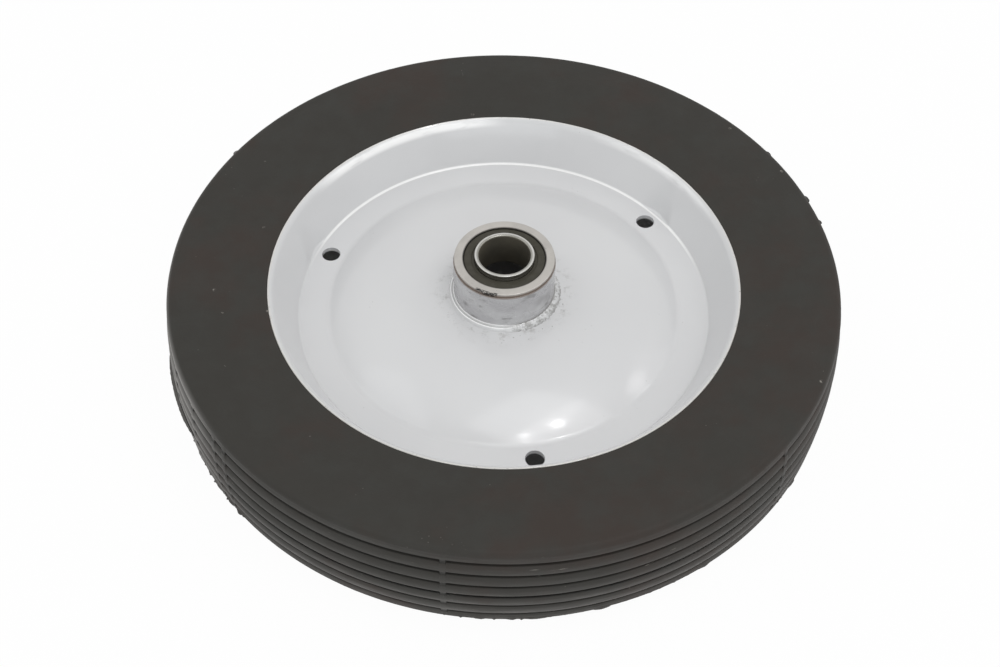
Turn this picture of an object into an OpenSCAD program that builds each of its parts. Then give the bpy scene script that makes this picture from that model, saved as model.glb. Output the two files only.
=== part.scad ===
// Wheel with a solid rubber tire for a garden machine.
// Two pressed steel discs meet back to back and grip the tire between their flared lips.
// A tube welded through both discs carries a flanged ball bearing at each end.
// The origin is the middle of the wheel, on its axis. +Z points out of the front face.

/* [Tire] */
// Diameter over the tread, at the middle
tire_od = 254; // [246:0.5:262]
// Width from sidewall to sidewall
tire_width = 41.6; // [40:0.1:45]
// Radius of the crown across the tread
crown_r = 121; // [80:1:300]
// Rounding between tread and sidewall
shoulder_r = 2.5; // [1:0.1:4]
// Distance between neighbouring grooves
groove_pitch = 6.1; // [5:0.05:6.1]
// Width of a groove at its floor
groove_w = 1.3; // [0.8:0.1:2]
// Depth of a groove
groove_depth = 1.5; // [0.5:0.1:2.5]
// Chamfer on each edge of a groove
groove_chamfer = 0.35; // [0.1:0.05:0.8]
// Width of a rubber bridge across the grooves
bridge_w = 2.2; // [1:0.1:5]
// Evenly spaced bridges around the tread
bridge_count = 6; // [2:1:12]
// Turn of the first evenly spaced bridge
bridge_turn = -98.5; // [-180:0.5:180]
// Radius on the sidewall where it starts to slope down to the rim
sidewall_r = 116; // [108:1:119]
// Slope of the sidewall next to the rim, in degrees
sidewall_slope = 8.4; // [4:0.1:9]

/* [Discs] */
// Thickness of the pressed sheet
sheet_t = 1; // [0.8:0.05:1.4]
// Radius of the flared lip's outer edge
lip_r = 88.5; // [86:0.1:91]
// Distance between the two outer edges of the lips
rim_width = 35.8; // [33:0.1:37]
// Radius over the front of the bend that flares the lip
lip_bend = 5; // [3:0.1:7]
// Slope that is left at the lip's edge, in degrees
lip_slope = 25; // [15:1:35]
// Radius of the corner between the flat ring and the wall
fold_r = 78.3; // [77.5:0.1:79]
// Inside rounding of that corner
fold_fillet = 1.3; // [0.5:0.1:2]
// Outer radius of the dome, where the flat ring begins
dome_foot_r = 68.5; // [67:0.1:69]
// Radius where the dome is steepest
dome_steep_r = 65.5; // [62:0.5:66]
// Radius where the dome begins to fall faster
dome_break_r = 37; // [34:1:46]
// Steepest slope of the dome, in degrees
dome_slope = 27; // [24:1:30]
// Slope of the dome at the break, in degrees
dome_lean = 3.5; // [1:0.5:5]
// Radius of the flat seat around the tube
seat_r = 24; // [23:0.5:28]

/* [Bolt holes] */
// Number of holes
hole_count = 3; // [2:1:6]
// Diameter of each hole
hole_d = 7.1; // [5:0.1:7.5]
// Diameter of the circle through the holes
hole_pcd = 145.8; // [145:0.1:146.4]
// Turn of the first hole, in degrees
hole_turn = 39.5; // [0:0.5:119.5]
// Diameter of the pressed pocket around each hole
pocket_d = 12.7; // [12:0.1:13]

/* [Hub] */
// Outer diameter of the tube
tube_od = 38.1; // [38.1:0.1:39]
// Length of the tube
tube_len = 53; // [51:0.5:58]
// Leg of the weld bead along the tube
weld_leg = 2.3; // [1.5:0.1:3]
// How far the bead's face falls short of a full quarter round, as a share
weld_hollow = 0.18; // [0.05:0.01:0.25]

/* [Bearings] */
// Diameter of the axle bore
bore_d = 19.05; // [19.05:0.01:19.1]
// Outer diameter of the bearing in the tube
bearing_od = 34.925; // [34.9:0.005:35]
// Width of the outer ring with its flange
bearing_w = 12.6; // [12:0.1:13]
// Diameter of the flange
flange_od = 37.5; // [36.5:0.1:38]
// Thickness of the flange
flange_t = 1.6; // [1.2:0.1:2]
// Diameter of the inner ring's outside
inner_ring_od = 22.3; // [22:0.1:22.6]
// How far the inner ring stands out of the flange
inner_ring_proud = 1.65; // [1:0.05:2]
// Diameter of the outer ring's inside
outer_ring_id = 30.86; // [30.6:0.02:31]
// Diameter of a ball
ball_d = 5.556; // [5.4:0.002:5.6]
// Balls in a bearing
ball_count = 9; // [7:1:9]
// Diameter of the circle through the balls' middles
ball_pcd = 26.6; // [26.5:0.05:26.7]

/* [Hidden] */
$fn = 180;

// Colours as painted or bare
silver_paint = [0.80, 0.81, 0.82];
weld_metal = [0.74, 0.75, 0.74];
rubber = [0.16, 0.15, 0.145];
bare_steel = [0.76, 0.72, 0.67];
bright_steel = [0.83, 0.82, 0.80];
seal_rubber = [0.11, 0.11, 0.10];
cage_steel = [0.62, 0.60, 0.55];

// A size that reaches past everything in a section
far = 400;

// Sheet: heights of the middle of the metal
half_t = sheet_t / 2;
break_bend = (dome_break_r - seat_r) / sin(dome_lean);
steep_bend = (dome_steep_r - dome_break_r) / (sin(dome_slope) - sin(dome_lean));
foot_bend = (dome_foot_r - dome_steep_r) / sin(dome_slope);
steep_z = half_t + foot_bend * (1 - cos(dome_slope));
break_z = steep_z + steep_bend * (cos(dome_lean) - cos(dome_slope));
seat_mid_z = break_z + break_bend * (1 - cos(dome_lean));
seat_z = seat_mid_z + half_t;

// Flared lip: the middle of its bend, and the wall that runs up to it from the fold
lip_edge = [lip_r, rim_width / 2];
lip_out = [cos(lip_slope), sin(lip_slope)];
lip_back = [sin(lip_slope), -cos(lip_slope)];
flare_mid = lip_edge + lip_bend * lip_back;
wall_run = flare_mid - [fold_r, sheet_t];
wall_slope = atan2(wall_run[1], wall_run[0]) + asin(lip_bend / norm(wall_run));
wall_up = [cos(wall_slope), sin(wall_slope)];
wall_back = [sin(wall_slope), -cos(wall_slope)];
fold_corner = [fold_r, sheet_t];
fold_run = fold_fillet * tan(wall_slope / 2);

// Middles of the bends in the sheet
break_mid = [seat_r, seat_mid_z - break_bend];
steep_mid = [dome_break_r - steep_bend * sin(dome_lean), break_z - steep_bend * cos(dome_lean)];
foot_mid = [dome_foot_r, half_t + foot_bend];
fold_mid = [fold_r - fold_run, sheet_t + fold_fillet];

// Pressed pocket: the boss behind it starts inside the sheet
hole_step = 360 / hole_count;
boss_r = pocket_d / 2 + sheet_t;
boss_in_r = fold_r - 2;
boss_out_r = 81.8;
boss_up = 5;
boss_foot = fold_corner + half_t * wall_back;
boss_head = boss_foot + boss_up * wall_up;

// Tire: middles of the crown arc and the shoulder arc
tread_r = tire_od / 2;
side_z = tire_width / 2;
crown_x = tread_r - crown_r;
shoulder_z = side_z - shoulder_r;
shoulder_x = crown_x + sqrt(pow(crown_r - shoulder_r, 2) - pow(shoulder_z, 2));
crown_lean = asin(shoulder_z / (crown_r - shoulder_r));
side_bend = 80;
side_mid = [sidewall_r, side_z - side_bend];
rim_gap = 0.1;
rim_fill_r = lip_bend - sheet_t - rim_gap;
rim_fill_end = polar(flare_mid, rim_fill_r, 90 + lip_slope) + rim_gap * lip_out;
side_start = polar(side_mid, side_bend, 90 + sidewall_slope);

// The sidewall starts where it meets the line just outside the sheet's cut edge
cut_top = lip_edge + rim_gap * lip_out;
cut_fall = cut_top[1] - side_start[1] + (side_start[0] - cut_top[0]) * tan(sidewall_slope);
cut_shown = cut_fall / (cos(lip_slope) + tan(sidewall_slope) * sin(lip_slope));
side_foot = cut_top + cut_shown * lip_back;
nose_r = 82;
wall_foot = fold_corner + (sheet_t + rim_gap) * wall_back;
nose_z = wall_foot[1] + (nose_r - wall_foot[0]) * tan(wall_slope);

// Bridges across the grooves: the even ones and three odd ones
odd_bridges = [-139.5, -142.5, -150];
even_bridges = [for (i = [0:bridge_count - 1]) bridge_turn + i * 360 / bridge_count];
bridge_turns = concat(even_bridges, odd_bridges);
bridge_sunk = 0.12;
bridge_foot_r = 122;
bridge_side_z = 16.8;
groove_rows = [-2.5:1:2.5];

// Bearing: heights from the wheel's middle, for the front one
bearing_top = tube_len / 2 + flange_t;
bearing_foot = bearing_top - bearing_w;
ball_z = (bearing_top + bearing_foot) / 2;
ball_ring_r = ball_pcd / 2;
race_r = ball_d / 2 + 0.04;
inner_top = bearing_top + inner_ring_proud;
edge_chamfer = 0.3;
seal_t = 1.2;
seal_recess = 0.5;
seal_rim_r = outer_ring_id / 2 + 0.45;
seal_rim_w = 0.8;
seal_rim_step = 0.25;
seal_lip_r = inner_ring_od / 2 + 0.06;
seal_lip_w = 1.1;
seal_lip_t = 0.85;
outer_seal_foot = bearing_top - seal_recess - seal_t;
inner_seal_foot = bearing_foot + seal_recess;
cage_t = 0.6;
cage_gap = 0.45;
cage_r_in = inner_ring_od / 2 + cage_gap;
cage_r_out = outer_ring_id / 2 - cage_gap;
cage_pocket_r = ball_d / 2 + 0.12;
rivet_r = 0.5;
rivet_head_r = 0.85;
rivet_head_h = 0.35;
ball_step = 360 / ball_count;

// Point at distance r and angle a from c
function polar(c, r, a) = c + r * [cos(a), sin(a)];

// Points along a bend of radius r around c, in n steps, with its last point when last is 1
function bend(c, r, a0, a1, n, last = 0) =
    [for (i = [0:n - 1 + last]) polar(c, r, a0 + (a1 - a0) * i / n)];

// Radius of the tread's surface at height z
function crown_at(z) = crown_x + sqrt(pow(crown_r, 2) - pow(z, 2));

// Line along the sheet from the tube to the lip's edge, off the middle of the metal by off
function sheet_line(off) = concat(
    [[tube_od / 2, seat_mid_z + off]],
    bend(break_mid, break_bend + off, 90, 90 - dome_lean, 3),
    bend(steep_mid, steep_bend + off, 90 - dome_lean, 90 - dome_slope, 14),
    bend(foot_mid, foot_bend - off, 270 - dome_slope, 270, 12, 1),
    bend(fold_mid, fold_fillet + half_t - off, 270, 270 + wall_slope, 8, 1),
    bend(flare_mid, lip_bend - half_t + off, 90 + wall_slope, 90 + lip_slope, 12, 1)
);

function turned(points) = [for (i = [len(points) - 1:-1:0]) points[i]];

// Section of the front disc
module disc_section() {
    polygon(concat(sheet_line(half_t), turned(sheet_line(-half_t))));
}

// Ring outside the middle of the wall, as high as the bosses reach
module boss_room() {
    rotate_extrude() polygon([
        [boss_in_r, 0],
        [boss_out_r, 0],
        [boss_out_r, boss_head[1]],
        boss_head,
        boss_foot,
        [boss_in_r, half_t]
    ]);
}

// Cylinders on the holes' places
module at_holes(r, h, z) {
    for (i = [0:hole_count - 1])
        rotate(hole_turn + i * hole_step)
            translate([hole_pcd / 2, 0, z])
                cylinder(r = r, h = h, $fn = 72);
}

module disc() {
    difference() {
        union() {
            rotate_extrude() disc_section();
            intersection() {
                boss_room();
                at_holes(boss_r, boss_up + sheet_t, 0);
            }
        }
        at_holes(pocket_d / 2, 2 * boss_up, sheet_t);
        at_holes(hole_d / 2, 3 * sheet_t, -sheet_t);
    }
}

module front_disc() {
    color(silver_paint) disc();
}

module back_disc() {
    color(silver_paint) mirror([0, 0, 1]) disc();
}

// Edge of the tire's upper half, from the bore to the tread's first rib
function tire_edge() = concat(
    [[nose_r, nose_z]],
    bend(flare_mid, rim_fill_r, 90 + wall_slope, 90 + lip_slope, 10, 1),
    [rim_fill_end, side_foot],
    bend(side_mid, side_bend, 90 + sidewall_slope, 90, 6, 1),
    bend([shoulder_x, shoulder_z], shoulder_r, 90, crown_lean, 10, 1)
);

// Outline of the groove at height z, from its upper edge to its lower edge, and a point on the rib below
function groove_points(z) = let(top = crown_at(z), h = groove_w / 2) [
    [crown_at(z + h + groove_chamfer), z + h + groove_chamfer],
    [top - groove_chamfer, z + h],
    [top - groove_depth, z + h],
    [top - groove_depth, z - h],
    [top - groove_chamfer, z - h],
    [crown_at(z - h - groove_chamfer), z - h - groove_chamfer],
    [crown_at(z - groove_pitch / 2), z - groove_pitch / 2]
];

function all_grooves() = [
    for (k = groove_rows, p = groove_points(-k * groove_pitch)) p
];

module tire_section() {
    flipped = [for (p = turned(tire_edge())) [p[0], -p[1]]];
    polygon(concat(tire_edge(), all_grooves(), flipped));
}

// One bridge, a little below the ribs
module bridge() {
    n = 12;
    top = [for (i = [0:n]) let(z = bridge_side_z * (1 - 2 * i / n)) [crown_at(z) - bridge_sunk, z]];
    rotate([90, 0, 0]) linear_extrude(height = bridge_w, center = true)
        polygon(concat([[bridge_foot_r, bridge_side_z]], top, [[bridge_foot_r, -bridge_side_z]]));
}

module tire() {
    color(rubber) {
        rotate_extrude() tire_section();
        for (a = bridge_turns) rotate(a) bridge();
    }
}

module hub_tube() {
    color(silver_paint) rotate_extrude() {
        translate([bearing_od / 2, -tube_len / 2])
            square([(tube_od - bearing_od) / 2, tube_len]);
    }
}

// Bead with a slightly raised face
module weld() {
    n = 10;
    root = [tube_od / 2, seat_z];
    rotate_extrude() polygon(concat([root], [
        for (i = [0:n]) let(a = 90 * i / n) polar(root, weld_leg * (1 - weld_hollow * sin(2 * a)), a)
    ]));
}

module front_weld() {
    color(weld_metal) weld();
}

module back_weld() {
    color(weld_metal) mirror([0, 0, 1]) weld();
}

// Ring groove that the balls run in
module race() {
    translate([ball_ring_r, ball_z]) circle(r = race_r, $fn = 96);
}

module outer_ring() {
    r_in = outer_ring_id / 2;
    rotate_extrude() difference() {
        polygon([
            [r_in, bearing_foot],
            [bearing_od / 2 - edge_chamfer, bearing_foot],
            [bearing_od / 2, bearing_foot + edge_chamfer],
            [bearing_od / 2, tube_len / 2],
            [flange_od / 2, tube_len / 2],
            [flange_od / 2, bearing_top - edge_chamfer],
            [flange_od / 2 - edge_chamfer, bearing_top],
            [r_in, bearing_top]
        ]);
        race();
        for (z = [outer_seal_foot + seal_rim_step, inner_seal_foot + seal_t - seal_rim_step - seal_rim_w])
            translate([r_in - 1, z]) square([seal_rim_r - r_in + 1, seal_rim_w]);
    }
}

module inner_ring() {
    r_in = bore_d / 2;
    r_out = inner_ring_od / 2;
    rotate_extrude() difference() {
        polygon([
            [r_in, bearing_foot + edge_chamfer],
            [r_in + edge_chamfer, bearing_foot],
            [r_out - edge_chamfer, bearing_foot],
            [r_out, bearing_foot + edge_chamfer],
            [r_out, inner_top - edge_chamfer / 2],
            [r_out - edge_chamfer / 2, inner_top],
            [r_in + edge_chamfer, inner_top],
            [r_in, inner_top - edge_chamfer]
        ]);
        race();
    }
}

// Seal with its rim in the outer ring's groove and a thinner lip next to the inner ring
module seal() {
    r_out = outer_ring_id / 2;
    rim_z = seal_rim_step + seal_rim_w;
    rotate_extrude() polygon([
        [seal_lip_r, 0],
        [r_out, 0],
        [r_out, seal_rim_step],
        [seal_rim_r, seal_rim_step],
        [seal_rim_r, rim_z],
        [r_out, rim_z],
        [r_out, seal_t],
        [seal_lip_r + seal_lip_w, seal_t],
        [seal_lip_r + seal_lip_w, seal_lip_t],
        [seal_lip_r, seal_lip_t]
    ]);
}

module outer_seal() {
    translate([0, 0, outer_seal_foot]) seal();
}

module inner_seal() {
    translate([0, 0, inner_seal_foot + seal_t]) mirror([0, 0, 1]) seal();
}

module balls() {
    for (i = [0:ball_count - 1])
        rotate(i * ball_step) translate([ball_ring_r, 0, ball_z]) sphere(d = ball_d, $fn = 64);
}

// Places of the rivets, between the balls
module at_rivets(r, h, z) {
    for (i = [0:ball_count - 1])
        rotate((i + 0.5) * ball_step) translate([ball_ring_r, 0, z]) cylinder(r = r, h = h, $fn = 32);
}

// Ring between the two races, h high
module cage_ring(h) {
    difference() {
        cylinder(r = cage_r_out, h = h);
        translate([0, 0, -1]) cylinder(r = cage_r_in, h = h + 2);
    }
}

// Bars pointing outward where the balls sit
module at_pockets(r) {
    for (i = [0:ball_count - 1])
        rotate(i * ball_step) rotate([0, 90, 0])
            cylinder(r = r, h = bearing_od / 2, $fn = 48);
}

// Pressed half of the cage on the far side of the balls from the wheel's middle, arched over each ball
module cage_half() {
    translate([0, 0, ball_z]) difference() {
        union() {
            cage_ring(cage_t);
            intersection() {
                cage_ring(ball_d);
                at_pockets(cage_pocket_r + cage_t);
            }
        }
        at_pockets(cage_pocket_r);
        at_rivets(rivet_r, 4 * cage_t, -cage_t);
    }
}

module cage_rivets() {
    at_rivets(rivet_r, 2 * cage_t, ball_z - cage_t);
    for (z = [ball_z + cage_t, ball_z - cage_t - rivet_head_h])
        at_rivets(rivet_head_r, rivet_head_h, z);
}

// The half nearer the wheel's middle mirrors the other one across the balls
module cage_inner() {
    translate([0, 0, 2 * ball_z]) mirror([0, 0, 1]) cage_half();
}

module front_outer_ring() {
    color(bare_steel) outer_ring();
}

module front_inner_ring() {
    color(bright_steel) inner_ring();
}

module front_balls() {
    color(bright_steel) balls();
}

module front_cage_outer_half() {
    color(cage_steel) cage_half();
}

module front_cage_inner_half() {
    color(cage_steel) cage_inner();
}

module front_cage_rivets() {
    color(cage_steel) cage_rivets();
}

module front_outer_seal() {
    color(seal_rubber) outer_seal();
}

module front_inner_seal() {
    color(seal_rubber) inner_seal();
}

module back_outer_ring() {
    color(bare_steel) mirror([0, 0, 1]) outer_ring();
}

module back_inner_ring() {
    color(bright_steel) mirror([0, 0, 1]) inner_ring();
}

module back_balls() {
    color(bright_steel) mirror([0, 0, 1]) balls();
}

module back_cage_outer_half() {
    color(cage_steel) mirror([0, 0, 1]) cage_half();
}

module back_cage_inner_half() {
    color(cage_steel) mirror([0, 0, 1]) cage_inner();
}

module back_cage_rivets() {
    color(cage_steel) mirror([0, 0, 1]) cage_rivets();
}

module back_outer_seal() {
    color(seal_rubber) mirror([0, 0, 1]) outer_seal();
}

module back_inner_seal() {
    color(seal_rubber) mirror([0, 0, 1]) inner_seal();
}

tire();
front_disc();
back_disc();
hub_tube();
front_weld();
back_weld();
front_outer_ring();
front_inner_ring();
front_balls();
front_cage_outer_half();
front_cage_inner_half();
front_cage_rivets();
front_outer_seal();
front_inner_seal();
back_outer_ring();
back_inner_ring();
back_balls();
back_cage_outer_half();
back_cage_inner_half();
back_cage_rivets();
back_outer_seal();
back_inner_seal();
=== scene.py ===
import math

import bpy
import numpy as np
from mathutils import Matrix


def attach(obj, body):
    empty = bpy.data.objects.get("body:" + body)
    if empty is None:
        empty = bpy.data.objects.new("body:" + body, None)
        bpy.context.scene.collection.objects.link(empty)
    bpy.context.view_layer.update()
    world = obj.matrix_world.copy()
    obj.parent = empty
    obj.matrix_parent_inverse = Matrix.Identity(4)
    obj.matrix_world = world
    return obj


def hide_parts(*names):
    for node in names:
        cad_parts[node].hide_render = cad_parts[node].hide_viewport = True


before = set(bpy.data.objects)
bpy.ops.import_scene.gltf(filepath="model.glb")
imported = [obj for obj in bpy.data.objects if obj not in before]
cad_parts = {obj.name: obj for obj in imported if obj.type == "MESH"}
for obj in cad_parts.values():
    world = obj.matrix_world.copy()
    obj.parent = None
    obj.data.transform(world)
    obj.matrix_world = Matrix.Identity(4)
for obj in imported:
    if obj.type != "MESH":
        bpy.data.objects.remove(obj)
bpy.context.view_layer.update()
mm = 0.001
scene = bpy.context.scene
scene.view_settings.view_transform = "Standard"
print("loaded the wheel's solids")


# Camera: where the photograph was taken from
cameraSizes = dict(
    distance=607.5,      # from the middle of the rim's opening, mm
    elevation=47.646,    # above the floor, degrees
    roll=0.9855,
    pan=0.1132,
    tilt=2.0364,
    aimHeight=17.85,     # the rim's lip above the wheel's middle, mm
    focal=1616.3,        # in pixels of the picture
    pictureWidth=1000,
    sensor=36,
)


def turnMatrix(axis, degrees):
    # right-handed turn about x, y or z
    c = math.cos(math.radians(degrees))
    s = math.sin(math.radians(degrees))
    rows = dict(
        x=[[1, 0, 0], [0, c, -s], [0, s, c]],
        y=[[c, 0, s], [0, 1, 0], [-s, 0, c]],
        z=[[c, -s, 0], [s, c, 0], [0, 0, 1]],
    )
    return np.array(rows[axis])


def makeCamera(size):
    # looks along +Y and down, then turned by the small pan, tilt and roll
    e = math.radians(size["elevation"])
    forward = np.array([0, math.cos(e), -math.sin(e)])
    level = np.stack([[1, 0, 0], np.cross(forward, [1, 0, 0]), forward])
    lean = turnMatrix("z", size["roll"]) @ turnMatrix("x", size["tilt"]) @ turnMatrix("y", size["pan"])
    rows = lean @ level
    data = bpy.data.cameras.new("camera")
    data.sensor_width = size["sensor"]
    data.lens = size["focal"] * size["sensor"] / size["pictureWidth"]
    data.clip_start = 0.05
    data.clip_end = 20
    camera = bpy.data.objects.new("camera", data)
    place = np.eye(4)
    place[:3, :3] = np.stack([rows[0], -rows[1], -rows[2]], -1)
    place[:3, 3] = np.array([0, -math.cos(e), math.sin(e)]) * size["distance"] * mm
    place[2, 3] += size["aimHeight"] * mm
    camera.matrix_world = Matrix(place.tolist())
    scene.collection.objects.link(camera)
    scene.camera = camera


makeCamera(cameraSizes)
print("placed the camera")


# Shapes: profiles are rows of (radius, height) in mm, carried round the axle


def arc(mid, radius, start, stop, count):
    # points of a circle round mid, from one angle to another in degrees
    turn = np.radians(np.linspace(start, stop, count))
    return np.stack([mid[0] + radius * np.cos(turn), mid[1] + radius * np.sin(turn)], -1)


def line(start, stop, count):
    # evenly spaced points from start to stop
    share = np.linspace(0, 1, count)[:, None]
    return (1 - share) * np.array(start, float) + share * np.array(stop, float)


def rounded(corners, radii, steps=4):
    # a loop through corners, each cut by a parabola that starts and ends its radius away from it
    corners = np.array(corners, float)
    made = []
    for before, corner, after, radius in zip(np.roll(corners, 1, 0), corners, np.roll(corners, -1, 0), radii):
        back = (before - corner) / np.hypot(*(before - corner))
        ahead = (after - corner) / np.hypot(*(after - corner))
        t = np.linspace(0, 1, steps + 1 if radius > 0 else 1)[:, None]
        made.append(corner + radius * ((1 - t) ** 2 * back + t ** 2 * ahead))
    return np.concatenate(made)


def flipped(profile):
    # the same loop on the wheel's other side, still counter-clockwise
    return profile[::-1] * [1, -1]


def smooth(low, high, value):
    # 0 below low, 1 above high, an S between
    t = np.clip((value - low) / (high - low), 0, 1)
    return t * t * (3 - 2 * t)


def wander(turn, seed, slowest, fastest, terms=24):
    # a wavy line round the wheel: cosines of whole numbers of waves with random phases, about -1 to 1
    rng = np.random.default_rng(seed)
    waves = rng.integers(slowest, fastest + 1, terms)
    phases = rng.uniform(0, 2 * np.pi, terms)
    return np.cos(waves[:, None] * turn[None] + phases[:, None]).sum(0) / math.sqrt(2 * terms) / 1.5


def evenTurns(count):
    return np.arange(count) * 2 * np.pi / count


def awayFrom(turn, places):
    # how far each turn is from the nearest of the places, which are in degrees
    gap = turn[:, None] - np.radians(places)[None]
    return np.abs((gap + np.pi) % (2 * np.pi) - np.pi).min(1)


def around(radius, height, turn):
    # x = r cos a, y = r sin a for each row at each turn
    radius, height, turn = np.broadcast_arrays(radius, height, turn)
    return np.stack([radius * np.cos(turn), radius * np.sin(turn), height], -1)


def gridFaces(rows, columns, closedRows=True):
    # quads of a grid that closes round the columns, outward for a profile that runs counter-clockwise
    last = rows if closedRows else rows - 1
    i, j = np.meshgrid(np.arange(last), np.arange(columns), indexing="ij")
    down = (i + 1) % rows
    along = (j + 1) % columns
    corners = [i * columns + j, i * columns + along, down * columns + along, down * columns + j]
    return np.stack(corners, -1)


def makePiece(name, points, faces, body, finish, stands=(), sharp=40):
    # a mesh from points in mm, smooth but for edges sharper than the given angle
    mesh = bpy.data.meshes.new(name)
    mesh.from_pydata((points.reshape(-1, 3) * mm).tolist(), [], faces)
    mesh.validate()
    mesh.shade_smooth()
    mesh.set_sharp_from_angle(angle=math.radians(sharp))
    mesh.materials.append(finish)
    piece = bpy.data.objects.new(name, mesh)
    scene.collection.objects.link(piece)
    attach(piece, body)
    if stands:
        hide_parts(*stands)
    return piece


def lathe(name, profile, columns, body, finish, stands=(), sharp=40):
    # a closed ring: the profile's loop carried round the axle
    points = around(profile[:, :1], profile[:, 1:], evenTurns(columns)[None])
    faces = gridFaces(len(profile), columns).reshape(-1, 4).tolist()
    return makePiece(name, points, faces, body, finish, stands, sharp)


# Finishes: a wrapped socket adds its Math nodes when it is used in an expression


class Wire:
    def __init__(self, finish, socket):
        self.finish = finish
        self.socket = socket

    def maths(self, operation, *values):
        return self.finish.add("ShaderNodeMath", {"operation": operation}, dict(enumerate(values)))

    def __add__(self, other):
        return self.maths("ADD", self, other)

    def __sub__(self, other):
        return self.maths("SUBTRACT", self, other)

    def __mul__(self, other):
        return self.maths("MULTIPLY", self, other)

    def __truediv__(self, other):
        return self.maths("DIVIDE", self, other)

    def __pow__(self, other):
        return self.maths("POWER", self, other)

    def __rsub__(self, other):
        return self.maths("SUBTRACT", other, self)

    def __rtruediv__(self, other):
        return self.maths("DIVIDE", other, self)

    __radd__ = __add__
    __rmul__ = __mul__

    def larger(self, other):
        return self.maths("MAXIMUM", self, other)

    def smaller(self, other):
        return self.maths("MINIMUM", self, other)

    def ramp(self, low, high):
        # 0 below low, 1 above high, an S between
        sockets = {"Value": self, "From Min": low, "From Max": high}
        return self.finish.add("ShaderNodeMapRange", {"interpolation_type": "SMOOTHSTEP"}, sockets)

    def band(self, low, high, soft):
        # 1 between low and high, with soft edges
        return self.ramp(low - soft, low + soft) * (1 - self.ramp(high - soft, high + soft))


class Finish:
    def __init__(self, name):
        self.material = bpy.data.materials.new(name)
        self.material.use_nodes = True
        self.tree = self.material.node_tree
        self.tree.nodes.clear()
        self.output = self.tree.nodes.new("ShaderNodeOutputMaterial")

    def add(self, kind, settings=None, sockets=None, out=0):
        # a node of that kind, its settings, then the values or links of its sockets
        node = self.tree.nodes.new(kind)
        for key, value in (settings or {}).items():
            setattr(node, key, value)
        for key, value in (sockets or {}).items():
            self.feed(node.inputs[key], value)
        return Wire(self, node.outputs[out])

    def feed(self, socket, value):
        if isinstance(value, Wire):
            self.tree.links.new(value.socket, socket)
        elif socket.type == "RGBA" and len(value) == 3:
            socket.default_value = (*value, 1)
        else:
            socket.default_value = value

    def place(self):
        return self.add("ShaderNodeTexCoord", out=3)

    def parts(self, vector):
        split = self.add("ShaderNodeSeparateXYZ", {}, {0: vector}).socket.node
        return [Wire(self, split.outputs[i]) for i in range(3)]

    def noise(self, vector, scale, detail=3.0, roughness=0.5):
        sockets = {"Vector": vector, "Scale": scale, "Detail": detail, "Roughness": roughness}
        return self.add("ShaderNodeTexNoise", {}, sockets)

    def specks(self, vector, scale, low, high):
        # small round spots, 1 at their middles
        spots = self.add("ShaderNodeTexVoronoi", {}, {"Vector": vector, "Scale": scale})
        return 1 - spots.ramp(low, high)

    def vector(self, operation, first, second):
        return self.add("ShaderNodeVectorMath", {"operation": operation}, {0: first, 1: second})

    def joined(self, x, y, z):
        return self.add("ShaderNodeCombineXYZ", {}, {0: x, 1: y, 2: z})

    def blend(self, share, first, second):
        # mixes two colours
        return self.add("ShaderNodeMix", {"data_type": "RGBA"}, {0: share, 6: first, 7: second}, out=2)

    def bump(self, height, distance, strength=1.0):
        return self.add("ShaderNodeBump", {}, {"Height": height, "Distance": distance, "Strength": strength})

    def shine(self, **sockets):
        # the surface shader, joined to the output
        named = {key.replace("_", " "): value for key, value in sockets.items()}
        shader = self.add("ShaderNodeBsdfPrincipled", {}, named)
        self.tree.links.new(shader.socket, self.output.inputs["Surface"])
        return self.material


def roundTheAxle(finish):
    # place, distance from the axle, turn round it and height, in metres and radians
    place = finish.place()
    x, y, z = finish.parts(place)
    radius = (x * x + y * y) ** 0.5
    turn = x.maths("ARCTAN2", y, x)
    return place, radius, turn, z


rubberLook = dict(
    rubber=(0.0295, 0.0275, 0.0235),
    brown=(0.034, 0.0260, 0.0215),
    grey=(0.034, 0.0340, 0.0300),
    wornAndLit=(0.175, 0.168, 0.160),     # wear on the ribs; low on the wheel and low on each rib it is also painted bounce light from the floor
    sideSheen=(0.30, 0.29, 0.275),      # painted sheen on the ribs on the wheel's left side
    dust=(0.40, 0.38, 0.34),
    rough=0.62,
    specular=0.26,
    ribPitch=0.0061,                # metres
)


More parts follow.
